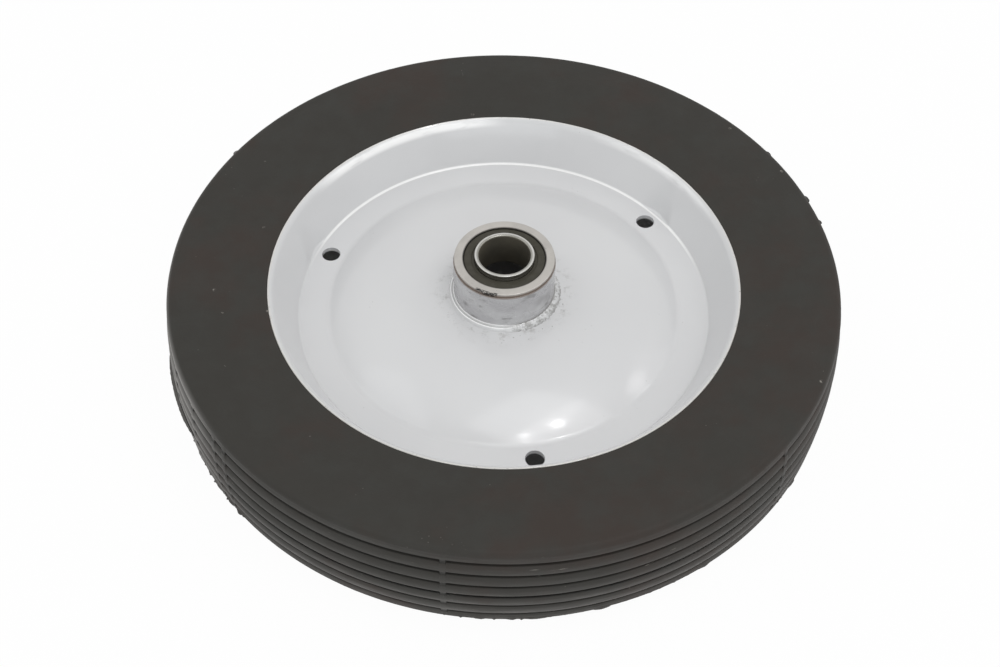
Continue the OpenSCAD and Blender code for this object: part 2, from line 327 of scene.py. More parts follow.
def tireFinish(look):
    f = Finish("tireRubber")
    place, radius, turn, z = roundTheAxle(f)
    patches = f.noise(place, 24, 4, 0.6).ramp(0.46, 0.66)
    clouds = f.noise(f.vector("MULTIPLY", place, (1, 1, 2.5)), 75, 5, 0.65).ramp(0.40, 0.68)
    colour = f.blend(patches, look["rubber"], look["brown"])
    colour = f.blend(clouds * 0.5, colour, look["grey"])
    # the tread is scuffed in streaks that run round the wheel
    x = f.parts(place)[0]
    tread = radius.ramp(0.1240, 0.1256)
    streaks = f.noise(f.joined(radius * 500, z * 900, turn * 9), 1, 5, 0.7).ramp(0.36, 0.68)
    # more of it low on the tread, on the wheel's left side and low on each rib: there it is painted bounce light from
    # the floor and a painted sheen
    lower = 1 - z.ramp(-0.019, 0.012)
    side = (0 - x).ramp(0.094, 0.118)
    ribs = (z + look["ribPitch"] / 2) / look["ribPitch"]
    rib = ribs.maths("FRACT", ribs)
    low = 1 - rib.ramp(0.10, 0.80)
    wearAndBounceLight = (lower * lower * 0.80 + side * 1.50 + 0.24).smaller(1.7) * (low * 0.84 + 0.16)
    colour = f.blend(tread * wearAndBounceLight * (streaks * 0.5 + 0.5), colour, look["wornAndLit"])
    # painted sheen on the left side's ribs, strongest low on each rib
    colour = f.blend(tread * side * (low * 0.5 + 0.3), colour, look["sideSheen"])
    # painted shade on the groove floors, darker on the left side
    grooveShade = tread * (1 - rib.band(0.14, 0.86, 0.03)) * (1 - radius.ramp(0.1268, 0.1272))
    colour = f.blend(grooveShade * (side * 0.4 + 0.55), colour, (0.006, 0.006, 0.005))
    scratches = f.noise(f.joined(radius * 900, z * 3200, turn * 14), 1, 3, 0.6).ramp(0.68, 0.74)
    rareScratches = f.noise(place, 55, 2).ramp(0.52, 0.60)
    colour = f.blend(tread * scratches * rareScratches * 0.55, colour, look["dust"])
    rare = f.noise(place, 70, 2).ramp(0.65, 0.70)
    fine = f.specks(place, 520, 0.05, 0.13) * rare * 0.2
    few = f.specks(place, 60, 0.025, 0.050) * f.noise(place, 900, 3, 0.7).ramp(0.42, 0.60) * 0.6
    colour = f.blend(fine.larger(few), colour, look["dust"])
    grain = f.noise(place, 2600, 4, 0.7)
    lumps = f.noise(place, 420, 3, 0.6)
    rings = f.noise(f.joined(radius * 1400, z * 1400, turn * 1.5), 1, 2)
    height = grain * 0.35 + lumps * 0.45 + rings * 0.25
    rough = f.noise(place, 160, 3) * 0.16 + (look["rough"] - 0.08)
    normal = f.bump(height, 0.00016, 0.8)
    return f.shine(Base_Color=colour, Roughness=rough, Specular_IOR_Level=look["specular"], Normal=normal)


paintLook = dict(
    high=(0.655, 0.658, 0.662),
    low=(0.632, 0.635, 0.641),
    bead=(0.68, 0.665, 0.625),      # thick paint on the cut edge of the lip
    foldHighlight=(0.92, 0.92, 0.91),        # painted highlight along the fold, on the far side
    flare=(0.97, 0.97, 0.965),      # painted highlight on the band inside the lip
    grime=(0.20, 0.19, 0.165),
    rough=0.37,
    metallic=0.0,
    coat=0.9,
    coatRough=0.13,
)


def discFinish(look):
    # silver paint with a faint orange peel, thin dirt beside the weld, a thick edge at the lip, and painted highlights
    # in the fold and inside the lip
    f = Finish("silverPaint")
    place, radius, turn, z = roundTheAxle(f)
    y = f.parts(place)[1]
    patches = f.noise(place, 16, 3, 0.55).ramp(0.3, 0.7)
    colour = f.blend(patches, look["high"], look["low"])
    edge = radius.ramp(0.0876, 0.0884)
    colour = f.blend(edge * 0.8, colour, look["bead"])
    high = z.maths("ABSOLUTE", z)
    # painted highlight in the fold, on the far side of the wheel only
    foldHighlight = radius.band(0.0778, 0.0786, 0.0002) * (1 - high.ramp(0.0015, 0.0021)) * y.ramp(0.016, 0.042)
    colour = f.blend(foldHighlight * 0.9, colour, look["foldHighlight"])
    # a painted highlight on the flare, where it faces the bright side
    flare = radius.band(0.0859, 0.0875, 0.0005) * f.noise(f.joined(radius * 400, turn * 5, z), 1, 3).ramp(0.25, 0.50)
    flare = flare * (turn.band(1.66, 2.52, 0.12) + turn.band(0.50, 1.10, 0.20) * 0.5)
    colour = f.blend(flare, colour, look["flare"])
    nicks = f.noise(place, 700, 4, 0.7).ramp(0.60, 0.68)
    colour = f.blend(edge * nicks * 0.7, colour, look["grime"])
    hub = 1 - radius.ramp(0.0205, 0.0300)
    dirt = f.noise(place, 330, 5, 0.7).ramp(0.50, 0.72)
    colour = f.blend(hub * dirt * 0.5, colour, look["grime"])
    specks = f.specks(place, 300, 0.03, 0.08) * f.noise(place, 50, 2).ramp(0.60, 0.66)
    colour = f.blend(specks * 0.4, colour, look["grime"])
    peel = f.noise(place, 380, 2, 0.4)
    waves = f.noise(place, 60, 2, 0.4)
    fine = f.noise(place, 1500, 2, 0.5)
    height = peel * 0.16 + waves * 1.2 + fine * 0.03 + specks * 0.3 + edge * nicks * 0.8
    rough = f.noise(place, 90, 3) * 0.10 + (look["rough"] - 0.05)
    normal = f.bump(height, 0.00012, 0.5)
    return f.shine(
        Base_Color=colour, Metallic=look["metallic"], Roughness=rough, Normal=normal,
        Coat_Weight=look["coat"], Coat_Roughness=look["coatRough"],
    )


def tubeFinish(look):
    # the same paint, thinner, with smudges that run round the tube
    f = Finish("tubePaint")
    place, radius, turn, z = roundTheAxle(f)
    streaks = f.noise(f.joined(turn * 1.4, z * 120, radius * 40), 1, 3, 0.5)
    colour = f.blend(streaks.ramp(0.35, 0.65), (0.56, 0.56, 0.565), (0.47, 0.465, 0.475))
    smudges = f.noise(f.joined(turn * 3.0, z * 380, radius * 40), 1, 3, 0.6).ramp(0.52, 0.66)
    smudges = smudges.larger(turn.band(-0.95, -0.45, 0.2) * z.band(0.016, 0.021, 0.002) * 0.6)
    sides = f.noise(place, 110, 2).ramp(0.42, 0.60)
    colour = f.blend(smudges * sides * 0.5, colour, (0.13, 0.125, 0.12))
    # painted shade: a dark brown band at the tube's top, just under the flange
    brown = z.maths("ABSOLUTE", z).ramp(0.0257, 0.0265)
    colour = f.blend(brown * 0.8, colour, (0.16, 0.115, 0.085))
    height = f.noise(place, 300, 2) * 0.5 + smudges * 0.2
    rough = smudges * 0.2 + 0.26
    return f.shine(Base_Color=colour, Metallic=0.25, Roughness=rough, Normal=f.bump(height, 0.00008, 0.6))


def weldFinish():
    # painted over with the disc, black with soot in its hollows where the bead is rough, with painted highlights on
    # the neat side's ridges and painted shade between them and at the root
    f = Finish("paintedWeld")
    place, radius, turn, z = roundTheAxle(f)
    dirty = turn.band(-1.45, 0.35, 0.25)
    soot = f.noise(place, 520, 5, 0.72)
    specks = soot.ramp(0.62, 0.70) * 0.25 + soot.ramp(0.44, 0.58) * dirty * 0.6
    # darker at the root against the tube: painted shade in the crease, and soot on the rough side
    root = (1 - radius.ramp(0.01925, 0.01955)) * (dirty * 0.6 + 0.2)
    toe = radius.ramp(0.0207, 0.0214) * dirty * f.noise(place, 300, 4, 0.7).ramp(0.40, 0.54)
    colour = f.blend(specks.larger(toe * 0.6).larger(root), (0.60, 0.603, 0.605), (0.12, 0.115, 0.10))
    # painted highlights on the neat side's two ridges, and painted shade in the valley between them
    ridges = radius.band(0.01908, 0.01932, 0.00008).larger(radius.band(0.01992, 0.02032, 0.0001))
    valley = radius.band(0.01950, 0.01975, 0.0001) * (1 - dirty) * 0.5
    colour = f.blend(valley, colour, (0.30, 0.30, 0.29))
    colour = f.blend(ridges * (1 - dirty), colour, (0.90, 0.90, 0.90))
    pits = f.specks(place, 900, 0.08, 0.30) * (dirty * 0.8 + 0.2)
    height = f.noise(place, 1400, 3, 0.6) * (dirty * 0.5 + 0.1) + pits * 0.5
    rough = f.noise(place, 500, 2) * 0.20 + dirty * 0.08 + 0.06
    return f.shine(Base_Color=colour, Roughness=rough, Normal=f.bump(height, 0.0001, 0.7), Coat_Weight=0.9)


def flangeFinish():
    # turned steel under a warm film, rubbed on one side, brown below its edge
    f = Finish("bearingSteel")
    place, radius, turn, z = roundTheAxle(f)
    film = f.noise(place, 130, 3, 0.6).ramp(0.35, 0.7)
    colour = f.blend(film, (0.485, 0.465, 0.435), (0.425, 0.408, 0.383))
    fine = f.noise(f.joined(radius * 2400, z * 900, turn * 17), 1, 4, 0.7).ramp(0.45, 0.50)
    rubbed = turn.band(-2.15, -1.70, 0.03) * radius.band(0.01805, 0.01885, 0.00015) * fine
    scuffs = f.noise(place, 900, 4, 0.7).ramp(0.62, 0.70) * f.noise(place, 140, 2).ramp(0.52, 0.62)
    high = z.maths("ABSOLUTE", z)
    side = radius.ramp(0.01855, 0.01870) * (1 - high.ramp(0.0271, 0.0277))
    colour = f.blend(side * 0.8, colour, (0.20, 0.14, 0.105))
    colour = f.blend(rubbed.larger(scuffs * 0.6), colour, (0.012, 0.011, 0.010))
    inside = (1 - radius.ramp(0.0156, 0.0159))
    colour = f.blend(inside * 0.7, colour, (0.05, 0.045, 0.04))
    rings = f.noise(f.joined(radius * 9000, z * 9000, turn * 2), 1, 2)
    height = rings * 0.5 + f.noise(place, 2000, 2) * 0.2
    shine = f.noise(place, 300, 3) * 0.2 + 0.36
    return f.shine(Base_Color=colour, Metallic=0.7, Roughness=shine, Normal=f.bump(height, 0.00004, 0.6))


def innerSteelFinish():
    # ground steel; its bore is darker, with an oily film and painted shade down the hole
    f = Finish("groundSteel")
    place, radius, turn, z = roundTheAxle(f)
    film = f.noise(place, 200, 3, 0.6).ramp(0.35, 0.7)
    colour = f.blend(film, (0.58, 0.57, 0.55), (0.50, 0.49, 0.46))
    bevel = 1 - radius.ramp(0.0102, 0.0106)
    colour = f.blend(bevel, colour, (0.30, 0.295, 0.27))
    # the bore: an oily film, and painted shade down the hole
    oilAndShade = 1 - radius.ramp(0.00956, 0.01000)
    patchy = f.noise(place, 90, 3).ramp(0.20, 0.70)
    colour = f.blend(oilAndShade, colour, f.blend(patchy, (0.145, 0.130, 0.098), (0.095, 0.088, 0.070)))
    rings = f.noise(f.joined(radius * 9000, z * 9000, turn * 2), 1, 2)
    height = rings * 0.5 + f.noise(place, 2000, 2) * 0.2
    shine = oilAndShade * 0.22 + 0.24
    return f.shine(Base_Color=colour, Metallic=1 - oilAndShade * 0.75, Roughness=shine, Normal=f.bump(height, 0.00004, 0.6))


def sealFinish():
    f = Finish("sealRubber")
    place, radius, turn, z = roundTheAxle(f)
    film = f.noise(place, 300, 3, 0.6).ramp(0.35, 0.7)
    colour = f.blend(film, (0.036, 0.033, 0.022), (0.048, 0.044, 0.033))
    rim = radius.ramp(0.01500, 0.01512)
    colour = f.blend(rim * 0.85, colour, (0.004, 0.004, 0.003))
    dots = f.specks(place, 1500, 0.06, 0.16) * f.noise(place, 500, 2).ramp(0.60, 0.66)
    colour = f.blend(dots * 0.5, colour, (0.4, 0.4, 0.38))
    height = f.noise(place, 2400, 3)
    rough = f.noise(place, 400, 2) * 0.15 + 0.42
    normal = f.bump(height, 0.00004, 0.5)
    return f.shine(Base_Color=colour, Roughness=rough, Specular_IOR_Level=0.3, Normal=normal)


def cageFinish():
    f = Finish("cageSteel")
    place = f.place()
    colour = f.blend(f.noise(place, 400, 3).ramp(0.35, 0.7), (0.50, 0.48, 0.44), (0.40, 0.38, 0.34))
    rough = f.noise(place, 700, 2) * 0.2 + 0.3
    normal = f.bump(f.noise(place, 2600, 2), 0.00003, 0.5)
    return f.shine(Base_Color=colour, Metallic=1.0, Roughness=rough, Normal=normal)


tireRubber = tireFinish(rubberLook)
silverPaint = discFinish(paintLook)
tubePaint = tubeFinish(paintLook)
paintedWeld = weldFinish()
flangeSteel = flangeFinish()
innerSteel = innerSteelFinish()
sealRubber = sealFinish()
cageSteel = cageFinish()
print("mixed the finishes")


# Disc: one pressed sheet, between the line of its front surface and the line of its back
discSizes = dict(
    sheet=1.0,
    lipRadius=88.5,
    rimHalf=17.9,
    lipBend=5.0,
    lipSlope=25.0,
    edgeRound=0.3,
    edgeWave=0.05,
    foldRadius=78.3,
    foldFillet=1.3,
    footRadius=68.5,
    steepRadius=65.5,
    breakRadius=37.0,
    slope=27.0,
    lean=3.5,
    seatRadius=24.0,
    tubeRadius=19.05,
    holeRadius=3.55,
    holeCircle=72.9,
    holeTurns=[39.5, 159.5, 279.5],
    holeRound=0.12,
    patchHalf=3.72,         # half of the square round a hole that its own rings of faces fill
    pocketRadius=4.5,       # the flat round each hole
    pocketSoft=1.0,
    pocketPush=1.35,        # how far a pocket pushes the fold outward
    pocketSpread=7.5,       # half the width of that push, in degrees
    frontLean=22.0,         # the pushed wall off upright, on the sheet's two surfaces
    backLean=12.0,
)
frontCounts = dict(patch=9, dome=9, steep=26, foot=14, fold=11, pocket=17, wall=9, flare=14)
backCounts = dict(patch=9, dome=5, steep=11, foot=7, fold=6, pocket=6, wall=4, flare=7)
rubberGap = 0.1


def workOutRim(size):
    # the wall is the tangent from the fold's corner to the bend that flares the lip
    slope = math.radians(size["lipSlope"])
    out = np.array([math.cos(slope), math.sin(slope)])
    down = np.array([math.sin(slope), -math.cos(slope)])
    edge = np.array([size["lipRadius"], size["rimHalf"]])
    flareMid = edge + size["lipBend"] * down
    corner = np.array([size["foldRadius"], size["sheet"]])
    run = flareMid - corner
    wall = math.atan2(run[1], run[0]) + math.asin(size["lipBend"] / np.hypot(*run))
    behind = corner + (size["sheet"] + rubberGap) * np.array([math.sin(wall), -math.cos(wall)])
    return dict(out=out, down=down, edge=edge, flareMid=flareMid, wall=math.degrees(wall), behind=behind)


def workOutDome(size):
    # middles and radii of the dome's three bends, so that each starts where the last one ends
    half = size["sheet"] / 2
    lean, slope = math.radians(size["lean"]), math.radians(size["slope"])
    breakBend = (size["breakRadius"] - size["seatRadius"]) / math.sin(lean)
    steepBend = (size["steepRadius"] - size["breakRadius"]) / (math.sin(slope) - math.sin(lean))
    footBend = (size["footRadius"] - size["steepRadius"]) / math.sin(slope)
    steepZ = half + footBend * (1 - math.cos(slope))
    breakZ = steepZ + steepBend * (math.cos(lean) - math.cos(slope))
    seatZ = breakZ + breakBend * (1 - math.cos(lean))
    return dict(
        breakBend=breakBend, breakMid=[size["seatRadius"], seatZ - breakBend],
        steepBend=steepBend,
        steepMid=[size["breakRadius"] - steepBend * math.sin(lean), breakZ - steepBend * math.cos(lean)],
        footBend=footBend, footMid=[size["footRadius"], half + footBend],
        seatZ=seatZ,
    )


rimShape = workOutRim(discSizes)
domeShape = workOutDome(discSizes)


def sheetLine(size, off, counts, lean):
    # the sheet from the tube outward, off its middle by off, and the radius where a pocket's wall would stand
    half = size["sheet"] / 2
    dome, rim = domeShape, rimShape
    run = size["foldFillet"] * math.tan(math.radians(rim["wall"]) / 2)
    foldMid = [size["foldRadius"] - run, size["sheet"] + size["foldFillet"]]
    inner, outer = size["holeCircle"] - size["patchHalf"], size["holeCircle"] + size["patchHalf"]
    footStop = 270 - math.degrees(math.asin((size["footRadius"] - inner) / dome["footBend"]))
    seat = dome["seatZ"] + off
    parts = [
        line([size["tubeRadius"], seat], [size["seatRadius"], seat], 3)[:-1],
        arc(dome["breakMid"], dome["breakBend"] + off, 90, 90 - size["lean"], counts["dome"])[:-1],
        arc(dome["steepMid"], dome["steepBend"] + off, 90 - size["lean"], 90 - size["slope"], counts["steep"])[:-1],
        arc(dome["footMid"], dome["footBend"] - off, 270 - size["slope"], footStop, counts["foot"])[:-1],
        line([inner, half + off], [outer, half + off], counts["patch"]),
        arc(foldMid, size["foldFillet"] + half - off, 270, 270 + rim["wall"], counts["fold"]),
    ]
    bend = size["lipBend"] - half + off
    stop = 90 + size["lipSlope"] + math.degrees(size["edgeRound"] / bend)
    flare = arc(rim["flareMid"], bend, 90 + rim["wall"], stop, counts["flare"])
    low = parts[-1][-1]
    share = np.concatenate([np.linspace(0, 0.45, counts["pocket"]), np.linspace(0.45, 1, counts["wall"])[1:]])
    wall = low + share[1:-1, None] * (flare[0] - low)
    rows = np.concatenate([*parts, wall, flare])
    flat = sum(len(part) for part in parts[:-1])
    foldEnd = flat + counts["fold"]
    stand = np.full(len(rows), -1000.0)
    stand[flat:foldEnd] = rows[flat:foldEnd, 0]
    stand[foldEnd:-counts["flare"]] = low[0] + (wall[:, 1] - low[1]) * math.tan(math.radians(lean))
    return rows, stand, flat - counts["patch"]


def discColumns(size):
    # even turns, with finer ones across each pocket
    even = evenTurns(300)
    reach = size["pocketSpread"] + 0.3
    edge = math.degrees(size["patchHalf"] / size["holeCircle"])
    fine = np.concatenate([np.linspace(-reach, -edge, 15), np.linspace(-edge, edge, 25), np.linspace(edge, reach, 15)])
    turns = (np.radians(np.array(size["holeTurns"])[:, None] + fine[None]) % (2 * np.pi)).ravel()
    kept = even[awayFrom(even, size["holeTurns"]) > math.radians(reach + 0.4)]
    return np.unique(np.round(np.concatenate([kept, turns]), 7))


def pushed(radius, stand, turn, size):
    # the larger of the sheet's radius and the pocket's wall, with a soft corner;
    # the push falls off as (1 - (a / spread)^2)^3 with the turn a from the hole
    share = np.clip(1 - (np.degrees(awayFrom(turn, size["holeTurns"])) / size["pocketSpread"]) ** 2, 0, 1)
    push = size["pocketPush"] * share ** 3
    wish = stand[:, None] + push[None] - radius[:, None]
    grown = 0.5 * (wish + np.sqrt(wish ** 2 + 0.35 ** 2)) * smooth(0, 0.35, push)[None] * smooth(-0.6, 0, wish)
    return radius[:, None] + np.where(stand[:, None] > 0, grown, 0)


def pressed(height, radius, turn, flat, size):
    # the dome's foot sinks to the flat inside each pocket's circle
    made = height.copy()
    for degrees in size["holeTurns"]:
        middle = math.radians(degrees)
        far = np.hypot(radius * np.cos(turn - middle) - size["holeCircle"], radius * np.sin(turn - middle))
        share = 1 - smooth(size["pocketRadius"], size["pocketRadius"] + size["pocketSoft"], far)
        made += (flat - made) * share * (radius < size["holeCircle"])
    return made


def lipRound(size):
    # the sheet's cut edge, from its back to its front, with both corners rounded
    rim, r = rimShape, size["edgeRound"]
    front = rim["edge"]
    back = front + size["sheet"] * rim["down"]
    t = np.radians(np.linspace(0, 90, 5))[:, None]
    lower = back - r * rim["out"] - r * rim["down"] + r * (np.cos(t) * rim["down"] + np.sin(t) * rim["out"])
    upper = front - r * rim["out"] + r * rim["down"] + r * (np.cos(t) * rim["out"] - np.sin(t) * rim["down"])
    return np.concatenate([lower[1:], upper[:-1]])


def holeRings(points, loops, middle, size):
    # rings of points from the front square round a hole, down its wall, to the back square
    centre = size["holeCircle"] * np.array([math.cos(middle), math.sin(middle)])
    angles = [np.arctan2(points[loop, 1] - centre[1], points[loop, 0] - centre[0]) for loop in loops]
    backLoop, frontLoop = [loop[np.argsort(angle)] for loop, angle in zip(loops, angles)]
    angle = np.sort(angles[1])
    ray = np.stack([np.cos(angle), np.sin(angle)], -1)
    rim, r, top = size["holeRound"], size["holeRadius"], size["sheet"]
    corner = np.array([[1, 0], [0.45, 0.15], [0.1, 0.5], [0, 1]]) * rim
    steps = np.concatenate([corner * [1, -1] + [r, top], corner[::-1] + [r, 0]])
    made = [np.concatenate([centre + q * ray, np.full((len(angle), 1), z)], 1) for q, z in steps]
    first = (points[frontLoop] + made[0]) / 2
    last = (points[backLoop] + made[-1]) / 2
    return [first, *made, last], frontLoop, backLoop


def squareLoop(low, high, inside, columns):
    # the edge of a square of the grid, as one loop of point numbers
    down = np.arange(low, high + 1)
    return np.concatenate([
        low * columns + inside[:-1],
        down[:-1] * columns + inside[-1],
        high * columns + inside[::-1][:-1],
        down[::-1][:-1] * columns + inside[0],
    ])


def makeDisc(name, node, side, size):
    # back line, cut edge and front line as one closed loop round the axle, with a round hole set in each pocket
    half = size["sheet"] / 2
    turn = discColumns(size)
    columns = len(turn)
    front, frontStand, patchFront = sheetLine(size, half, frontCounts, size["frontLean"])
    back, backStand, patchBack = sheetLine(size, -half, backCounts, size["backLean"])
    edge = lipRound(size)
    frontRadius = pushed(front[:, 0], frontStand, turn, size)
    backRadius = pushed(back[:, 0], backStand, turn, size)
    frontHeight = pressed(np.repeat(front[:, 1:], columns, 1), frontRadius, turn, size["sheet"], size)
    backHeight = pressed(np.repeat(back[:, 1:], columns, 1), backRadius, turn, 0, size)
    edgeRadius = edge[:, :1] + size["edgeWave"] * (wander(turn, 11, 9, 120) - 1)[None]
    radius = np.concatenate([backRadius, edgeRadius, frontRadius[::-1]])
    height = np.concatenate([backHeight, np.repeat(edge[:, 1:], columns, 1), frontHeight[::-1]])
    points = around(radius, height, turn[None]).reshape(-1, 3)
    total = len(radius)
    faces = gridFaces(total, columns)
    keep = np.ones((total, columns), bool)
    spans = [(patchBack, patchBack + 8), (total - 1 - patchFront - 8, total - 1 - patchFront)]
    reach = size["patchHalf"] / size["holeCircle"] + 1e-5
    made = [points]
    allFaces = []
    for degrees in size["holeTurns"]:
        middle = math.radians(degrees)
        gap = (turn - middle + np.pi) % (2 * np.pi) - np.pi
        inside = np.nonzero(np.abs(gap) < reach)[0]
        inside = inside[np.argsort(gap[inside])]
        for low, high in spans:
            keep[low:high, inside[:-1]] = False
        loops = [squareLoop(low, high, inside, columns) for low, high in spans]
        rings, frontLoop, backLoop = holeRings(points, loops, middle, size)
        start = sum(len(block) for block in made)
        count = len(frontLoop)
        ids = [frontLoop] + [start + k * count + np.arange(count) for k in range(len(rings))] + [backLoop]
        made += rings
        for above, below in zip(ids[:-1], ids[1:]):
            allFaces.append(np.stack([above, np.roll(above, -1), np.roll(below, -1), below], -1))
    allPoints = np.concatenate(made)
    allFaces = np.concatenate([faces[keep], *allFaces])
    if side < 0:
        allPoints = allPoints * [1, 1, -1]
        allFaces = allFaces[:, ::-1]
    return makePiece(name, allPoints, allFaces.tolist(), "wheel", silverPaint, [node], 38)


makeDisc("front_disc_pressing", "front_disc", 1, discSizes)
makeDisc("back_disc_pressing", "back_disc", -1, discSizes)
print("pressed the discs")


# Tire: a closed ring with grooves that bridges of rubber cross
tireSizes = dict(
    treadRadius=127.0,
    halfWidth=20.8,
    crownRadius=121.0,
    shoulderRadius=2.5,
    groovePitch=6.1,
    grooveTop=1.0,          # half the width where a groove opens
    grooveFloor=0.62,       # half the width at its floor
    grooveDepth=1.5,
    grooveCount=6,
    grooveWave=0.09,
    bridgeHalf=1.1,
    bridgeEdge=0.3,
    bridgeSunk=0.1,
    bridgeTurns=[-98.5 + 60 * k for k in range(6)] + [-139.5, -142.5, -150],
    slopeRadius=116.0,      # where the sidewall starts down to the rim
    slope=8.4,
    slopeBend=80.0,
    noseRadius=82.0,
    wobble=0.10,
    pillow=0.16,
    lap=0.42,
)


def tireColumns(size):
    # even turns, with more of them at each bridge's edges
    even = evenTurns(390)
    edge = np.array([-0.5, -0.15, 0.15, 0.5]) * size["bridgeEdge"] + size["bridgeHalf"]
    near = np.concatenate([-edge[::-1], edge])
    extra = np.radians(np.array(size["bridgeTurns"]))[:, None] + near[None] / size["treadRadius"]
    return np.unique(np.round(np.concatenate([even, extra.ravel() % (2 * np.pi)]), 6))


def crownAt(height, size):
    # radius of the tread's surface at a height
    return size["treadRadius"] - size["crownRadius"] + np.sqrt(size["crownRadius"] ** 2 - height ** 2)


def upperEdge(size):
    # from the tread over the shoulder, in along the sidewall, round the back of the disc and to the bore
    rim, side = rimShape, size["halfWidth"]
    crownMid = size["treadRadius"] - size["crownRadius"]
    shoulderZ = side - size["shoulderRadius"]
    reach = size["crownRadius"] - size["shoulderRadius"]
    shoulderX = crownMid + math.sqrt(reach ** 2 - shoulderZ ** 2)
    lean = math.degrees(math.asin(shoulderZ / reach))
    shoulder = arc([shoulderX, shoulderZ], size["shoulderRadius"], lean, 90, 14)
    bend = arc([size["slopeRadius"], side - size["slopeBend"]], size["slopeBend"], 90, 90 + size["slope"], 9)
    rise = math.tan(math.radians(size["slope"]))
    top = rim["edge"] + rubberGap * rim["out"]
    fall = top[1] - bend[-1, 1] + (bend[-1, 0] - top[0]) * rise
    foot = top + rim["down"] * fall / (rise * rim["down"][0] - rim["down"][1])
    fill = discSizes["lipBend"] - discSizes["sheet"] - rubberGap
    behind = arc(rim["flareMid"], fill, 90 + discSizes["lipSlope"], 90 + rim["wall"], 8)
    corner = behind[:1] + rubberGap * rim["out"]
    wallRise = math.tan(math.radians(rim["wall"]))
    nose = [size["noseRadius"], rim["behind"][1] + (size["noseRadius"] - rim["behind"][0]) * wallRise]
    return np.concatenate([shoulder, bend[1:], line(bend[-1], foot, 9)[1:], corner, behind, [nose]])


def treadRows(size):
    # heights across the tread, how deep each is cut (1 at a groove's floor) and how far each rib falls there:
    # with q from -1 at a rib's lower edge to 1 at its upper edge, fall = pillow q^2 + lap (q + 1)^2 / 4
    share = np.linspace(0, 1, 7)
    offset = size["grooveFloor"] + (size["grooveTop"] - size["grooveFloor"]) * share
    offset = np.concatenate([offset, [1.4, 1.9, 2.45]])
    depth = np.concatenate([1 - smooth(0, 1, share), [0, 0, 0]])
    half = size["groovePitch"] / 2
    across = np.concatenate([-offset[::-1], [0], offset, [half]])
    cut = np.concatenate([depth[::-1], [1], depth, [0]])
    q = np.where(across < 0, (half + across) / (half - 1), (across - half) / (half - 1))
    q = np.clip(q, -1, 1)
    fall = (size["pillow"] * q ** 2 + size["lap"] * (q + 1) ** 2 / 4) * (1 - cut)
    middles = (np.arange(size["grooveCount"]) - (size["grooveCount"] - 1) / 2) * size["groovePitch"]
    return (middles[:, None] + across[None]).ravel(), np.tile(cut, size["grooveCount"]), np.tile(fall, size["grooveCount"])


def makeTire(size):
    upper = upperEdge(size)
    treadZ, treadCut, treadFall = treadRows(size)
    rows = np.concatenate([upper[::-1] * [1, -1], np.stack([crownAt(treadZ, size), treadZ], -1), upper])
    cuts = np.concatenate([np.zeros(len(upper)), treadCut, np.zeros(len(upper))])
    falls = np.concatenate([np.zeros(len(upper)), treadFall, np.zeros(len(upper))])
    turn = tireColumns(size)
    along = awayFrom(turn, size["bridgeTurns"]) * size["treadRadius"]
    soft = size["bridgeEdge"] / 2
    bridge = 1 - smooth(size["bridgeHalf"] - soft, size["bridgeHalf"] + soft, along)
    fill = 1 - bridge * (1 - size["bridgeSunk"] / size["grooveDepth"])
    outer = smooth(100, 122, rows[:, 0])
    sway = size["wobble"] * (wander(turn, 5, 2, 30) - 1) * 0.5
    rough = 0.05 * np.stack([wander(turn, 40 + k, 20, 190) for k in range(len(rows))]) - 0.05
    shoulderRows = smooth(123.0, 124.5, rows[:, 0]) * smooth(16, 17.5, np.abs(rows[:, 1]))
    radius = rows[:, :1] - (size["grooveDepth"] * cuts[:, None] + falls[:, None]) * fill[None]
    radius = radius + outer[:, None] * sway[None]
    radius = radius + rough * np.maximum(shoulderRows, 0.7 * (cuts > 0))[:, None]
    wave = 0.8 * wander(turn, 6, 8, 60) + 0.4 * wander(turn, 7, 90, 200)
    height = rows[:, 1:] + (cuts > 0)[:, None] * size["grooveWave"] * wave[None]
    points = around(radius, height, turn[None])
    faces = gridFaces(len(rows), len(turn)).reshape(-1, 4).tolist()
    return makePiece("tire_rubber_ring", points, faces, "wheel", tireRubber, ["tire"], 50)


# Flash: thin ragged rubber where the mould's parts met, and a torn flap of it on one side
flashSizes = dict(
    thick=0.5,
    sunk=0.25,
    columns=1100,
    rings=dict(
        lower=dict(height=-18.6, low=0.10, tall=0.55, tears=[
            (-137.2, 0.3, 0.5), (-138.1, 0.5, 0.8), (-138.9, 0.2, 0.4), (-140.6, 0.9, 0.5), (-141.7, 0.2, 0.7),
            (-144.6, 1.2, 0.35), (-145.9, 0.3, 0.7), (-148.3, 0.3, 0.35), (-151.8, 1.6, 0.3), (-155.5, 0.3, 0.5),
            (-93, 0.9, 0.45), (-88, 0.8, 0.45), (-84, 2.2, 0.5), (-73.5, 1.6, 0.6), (-55, 1.2, 0.4), (-32, 1.0, 0.5),
        ]),
        upper=dict(height=18.6, low=-0.25, tall=0.25, tears=[
            (149.5, 0.8, 1.1), (33, 0.9, 1.0), (20, 0.9, 1.1), (14, 0.6, 0.9), (96, 0.7, 0.7), (62, 0.6, 0.7),
        ]),
        side=dict(height=-3.4, low=-0.25, tall=0.0, tears=[
            (-161, 10.5, 1.2), (-4.5, 1.2, 0.7),
        ]),
    ),
)


